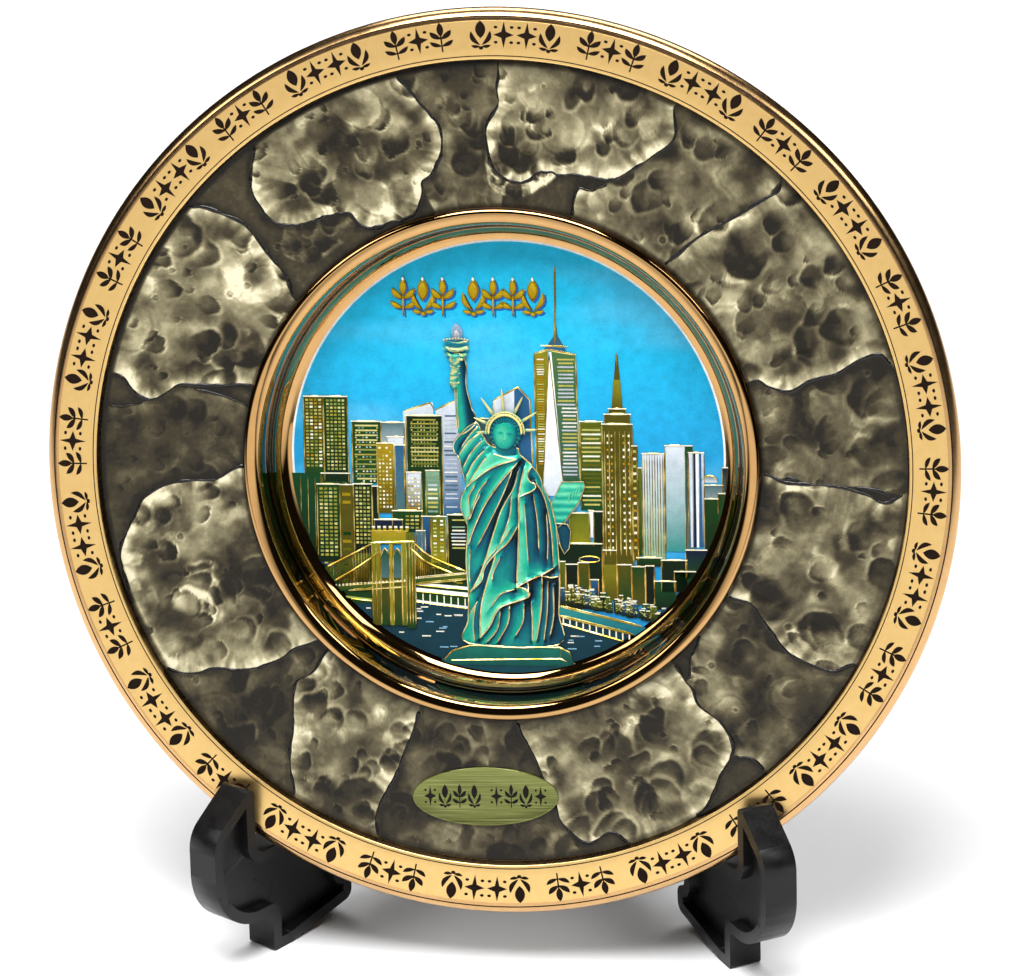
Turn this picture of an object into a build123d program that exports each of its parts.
from build123d import *
import os
from math import cos, radians, sin, tan

os.makedirs("parts", exist_ok=True)

# The object stands on z = 0 and faces -Y: a round plate leans back in a folding stand,
# whose two side panels meet at a vertical hinge pin behind the plate.
# A plate section is drawn as (radius, height above the flat of the gold band).
# A stand panel is drawn as (reach forward from the pin's axis, height above the table).

# --- the plate's driving dimensions ---
plate_radius = 100.0
lean_angle = 13.5
edge_bead = 2.6
band_inner_radius = 88.9
band_thickness = 0.3
step_run = 0.6
marble_depth = 2.4
well_radius = 53.0
foot_ring_radius = 57.5
foot_ring_width = 4.5
foot_ring_height = 3.4
plate_depth = 22.0
floor_thickness = 3.6

# --- the medallion, its ring and the label ---
medallion_depth = 12.6
medallion_radius = 52.6
medallion_thickness = 0.8
pad_radius = 52.0
bezel_radius = 56.8
bezel_crest_radius = 54.8
bezel_crest_height = 0.3
bezel_waist_radius = 51.7
bezel_waist_depth = 7.8
bezel_inner_radius = 47.8
bezel_wall_radius = 52.7
label_length = 32.2
label_height = 13.0
label_thickness = 0.5
label_tape = 0.3
label_across = -3.0
label_below = 74.0

# --- the stand's driving dimensions ---
toe_angle = 33.0
panel_thickness = 7.5
panel_offset = 0.25
web_thickness = 2.4
rim_width = 2.6
foot_front = 92.6
hook_reach = 110.5
hook_face = 97.2
hook_top = 43.2
seat_height = 25.6
slot_back = 85.5
seat_reach = 90.2
column_height = 52.4
column_face = 5.2
barrel_radius = 4.2
pin_radius = 1.5
pin_play = 0.05
knuckle_count = 4
knuckle_base = 6.0
knuckle_gap = 0.4
rest_gap = 0.3

band_outer_radius = plate_radius - edge_bead
rim_thickness = 2 * edge_bead

toe_sin = sin(radians(toe_angle))
toe_cos = cos(radians(toe_angle))
lean_sin = sin(radians(lean_angle))
lean_cos = cos(radians(lean_angle))

# The pin stands so far back that the stand's front and back are equally far from y = 0.
pin_y = (hook_reach * toe_cos - panel_offset * toe_sin - barrel_radius) / 2

# The rim stands on each seat at the panel's inner face, and its front clears the hook's outer edge.
seat_across = seat_reach * toe_sin + panel_offset * toe_cos
seat_drop = (plate_radius**2 - seat_across**2) ** 0.5
plate_z = seat_height + rest_gap + seat_drop * lean_cos + edge_bead * lean_sin
hook_across = hook_face * toe_sin + (panel_offset + panel_thickness) * toe_cos
hook_drop = (band_outer_radius**2 - hook_across**2) ** 0.5
hook_back_y = pin_y - hook_face * toe_cos + (panel_offset + panel_thickness) * toe_sin
plate_y = hook_back_y + rest_gap + hook_drop * lean_sin

plate_front = Plane(origin=(0, plate_y, plate_z), x_dir=(1, 0, 0), z_dir=(0, -lean_cos, lean_sin))
plate_section = Plane(origin=plate_front.origin, x_dir=(1, 0, 0), z_dir=(0, -lean_sin, -lean_cos))
plate_axis = Axis(plate_front.origin, plate_front.z_dir)
panel_plane = Plane(
    origin=(0, pin_y, 0), x_dir=(-toe_sin, -toe_cos, 0), z_dir=(-toe_cos, toe_sin, 0)
)

# The backrest is the line, seen in the panel's plane, that the plate's foot ring leans on.
ring_y = plate_y + (plate_depth + rest_gap) / lean_cos
backrest_slope = tan(radians(lean_angle)) / toe_cos
backrest_at_table = (pin_y + panel_offset * toe_sin - ring_y + plate_z * lean_sin / lean_cos) / toe_cos


def backrest_reach(height):
    """How far in front of the pin the backrest's face is at this height."""
    return backrest_at_table - height * backrest_slope


# --- porcelain dish: flat marbled shoulder, raised rim, deep round well, foot ring ---
floor_back = foot_ring_height - plate_depth
pad_seat = floor_back + floor_thickness
with BuildPart() as plate_body:
    with BuildSketch(plate_section):
        with BuildLine():
            Polyline(
                (0, pad_seat),
                (well_radius, pad_seat),
                (well_radius, -marble_depth),
                (band_inner_radius - step_run, -marble_depth),
                (band_inner_radius, -band_thickness),
                (band_outer_radius, -band_thickness),
                (band_outer_radius, 0),
            )
            ThreePointArc(
                (band_outer_radius, 0),
                (plate_radius, -edge_bead),
                (band_outer_radius, -rim_thickness),
            )
            Line((band_outer_radius, -rim_thickness), (68, -8.2))
            ThreePointArc((68, -8.2), (62.2, -10.8), (59.6, -16.4))
            Polyline(
                (59.6, -16.4),
                (foot_ring_radius, -plate_depth),
                (foot_ring_radius - foot_ring_width, -plate_depth),
                (foot_ring_radius - foot_ring_width - 1, floor_back),
                (0, floor_back),
                (0, pad_seat),
            )
        make_face()
    revolve(axis=plate_axis)
plate_body.part.label = "plate_body"
export_step(plate_body.part, "parts/plate_body.step")

# --- gold transfer on the flat of the rim ---
with BuildPart() as gold_band:
    with BuildSketch(plate_front.offset(-band_thickness)):
        Circle(band_outer_radius)
        Circle(band_inner_radius, mode=Mode.SUBTRACT)
    extrude(amount=band_thickness)
gold_band.part.label = "gold_band"
export_step(gold_band.part, "parts/gold_band.step")

# --- ring round the medallion: a bead that sits on the shoulder, then a cove down to the disc ---
with BuildPart() as bezel_ring:
    with BuildSketch(plate_section):
        with BuildLine():
            Polyline(
                (bezel_inner_radius, -medallion_depth),
                (bezel_wall_radius, -medallion_depth),
                (bezel_wall_radius, -marble_depth),
                (bezel_radius, -marble_depth),
            )
            EllipticalCenterArc(
                (bezel_crest_radius, -marble_depth),
                bezel_radius - bezel_crest_radius,
                marble_depth + bezel_crest_height,
                start_angle=0,
                arc_size=90,
            )
            EllipticalCenterArc(
                (bezel_crest_radius, -bezel_waist_depth),
                bezel_crest_radius - bezel_waist_radius,
                bezel_waist_depth + bezel_crest_height,
                start_angle=90,
                arc_size=90,
            )
            EllipticalCenterArc(
                (bezel_inner_radius, -bezel_waist_depth),
                bezel_waist_radius - bezel_inner_radius,
                medallion_depth - bezel_waist_depth - 0.4,
                start_angle=270,
                arc_size=90,
            )
            Line(
                (bezel_inner_radius, 0.4 - medallion_depth),
                (bezel_inner_radius, -medallion_depth),
            )
        make_face()
    revolve(axis=plate_axis)
bezel_ring.part.label = "bezel_ring"
export_step(bezel_ring.part, "parts/bezel_ring.step")

# --- picture disc and the pad that carries it ---
disc_back = medallion_depth + medallion_thickness
with BuildPart() as medallion_disc:
    with BuildSketch(plate_front.offset(-disc_back)):
        Circle(medallion_radius)
    extrude(amount=medallion_thickness)
medallion_disc.part.label = "medallion_disc"
export_step(medallion_disc.part, "parts/medallion_disc.step")

with BuildPart() as medallion_pad:
    with BuildSketch(plate_front.offset(pad_seat)):
        Circle(pad_radius)
    extrude(amount=-pad_seat - disc_back)
medallion_pad.part.label = "medallion_pad"
export_step(medallion_pad.part, "parts/medallion_pad.step")

# --- oval label on the shoulder, on its own tape ---
tape_plane = plate_front.offset(-marble_depth)
with BuildPart() as label_adhesive:
    with BuildSketch(tape_plane):
        with Locations((label_across, -label_below)):
            Ellipse(label_length / 2 - 0.6, label_height / 2 - 0.6)
    extrude(amount=label_tape)
label_adhesive.part.label = "label_adhesive"
export_step(label_adhesive.part, "parts/label_adhesive.step")

with BuildPart() as label_plate:
    with BuildSketch(tape_plane.offset(label_tape)):
        with Locations((label_across, -label_below)):
            Ellipse(label_length / 2, label_height / 2)
    extrude(amount=label_thickness)
label_plate.part.label = "label_plate"
export_step(label_plate.part, "parts/label_plate.step")

# --- side panel of the stand, without its knuckles: hook, seat, backrest, rear column, arch, foot ---
panel_corners = [
    ((foot_front, 0), 0.8),
    ((foot_front, 9.3), 0.8),
    ((hook_reach, 9.3), 14.5),
    ((hook_reach, 33.8), 7.0),
    ((hook_face, hook_top), 1.4),
    ((hook_face, seat_height), 3.0),
    ((slot_back, seat_height), 3.0),
    ((backrest_reach(54), 54), 10.0),
    ((backrest_reach(83), 83), 3.0),
    ((backrest_reach(83) - 8, 84.5), 3.0),
    ((30, column_height), 14.0),
    ((column_face, column_height), 2.0),
    ((column_face, 0), 0.8),
    ((17, 0), 0.8),
    ((20.5, 19.5), 9.0),
    ((66, 19.5), 6.0),
    ((71, 10.2), 1.5),
    ((66.8, 9.7), 2.4),
    ((66.8, 3.6), 2.4),
    ((87, 0), 8.0),
]
web_recess = (panel_thickness - web_thickness) / 2
corner_points = [point for point, radius in panel_corners]
corner_radii = [radius for point, radius in panel_corners]
inner_plane = panel_plane.offset(panel_offset)
outer_plane = inner_plane.offset(panel_thickness)
with BuildPart() as panel_body:
    with BuildSketch(inner_plane):
        with BuildLine():
            FilletPolyline(corner_points, radius=corner_radii, close=True)
        make_face()
    extrude(amount=panel_thickness)
    for face_plane, recess_amount in ((inner_plane, web_recess), (outer_plane, -web_recess)):
        with BuildSketch(face_plane):
            with BuildLine():
                FilletPolyline(corner_points, radius=corner_radii, close=True)
            make_face()
            offset(amount=-rim_width)
        extrude(amount=recess_amount, mode=Mode.SUBTRACT)

# --- the two panels: the same body, each with every other knuckle of the hinge ---
knuckle_pitch = (column_height - knuckle_base + knuckle_gap) / knuckle_count
knuckle_height = knuckle_pitch - knuckle_gap
mirrored_plane = Plane(
    origin=panel_plane.origin, x_dir=(toe_sin, -toe_cos, 0), z_dir=(-toe_cos, -toe_sin, 0)
)
leaf_depth = 3.2
leaf_reach = column_face + 0.5 * rim_width
right_body = mirror(panel_body.part, about=Plane.YZ)
sides = [
    ("stand_left", panel_body.part, panel_plane.offset(panel_offset), leaf_depth, 0),
    ("stand_right", right_body, mirrored_plane.offset(-panel_offset), -leaf_depth, 1),
]
for panel_name, body, leaf_plane, leaf_amount, first_knuckle in sides:
    with BuildPart() as panel:
        add(body)
        for index in range(first_knuckle, knuckle_count, 2):
            bottom = knuckle_base + index * knuckle_pitch
            with BuildSketch(Plane.XY.offset(bottom)):
                with Locations((0, pin_y)):
                    Circle(barrel_radius)
            extrude(amount=knuckle_height)
            with BuildSketch(leaf_plane):
                with Locations((0, bottom)):
                    Rectangle(leaf_reach, knuckle_height, align=(Align.MIN, Align.MIN))
            extrude(amount=leaf_amount)
        with BuildSketch(Plane.XY):
            with Locations((0, pin_y)):
                Circle(pin_radius + pin_play)
        extrude(amount=2 * column_height, mode=Mode.SUBTRACT)
    panel.part.label = panel_name
    export_step(panel.part, f"parts/{panel_name}.step")

# --- hinge pin with a domed head at each end ---
pin_head_radius = 3.0
pin_head_height = 1.2
shaft_bottom = knuckle_base - rest_gap
shaft_top = column_height + rest_gap
with BuildPart() as hinge_pin:
    with BuildSketch(Plane.XY.offset(shaft_bottom)):
        with Locations((0, pin_y)):
            Circle(pin_radius)
    extrude(amount=shaft_top - shaft_bottom)
    with BuildSketch(Plane.XY.offset(shaft_top), Plane.XY.offset(shaft_bottom - pin_head_height)):
        with Locations((0, pin_y)):
            Circle(pin_head_radius)
    extrude(amount=pin_head_height)
    head_edges = hinge_pin.edges().group_by(Axis.Z)
    fillet(head_edges[0] + head_edges[-1], radius=0.7 * pin_head_height)
hinge_pin.part.label = "hinge_pin"
export_step(hinge_pin.part, "parts/hinge_pin.step")

print("pin at y", round(pin_y, 3), "plate centre at", round(plate_y, 3), round(plate_z, 3))
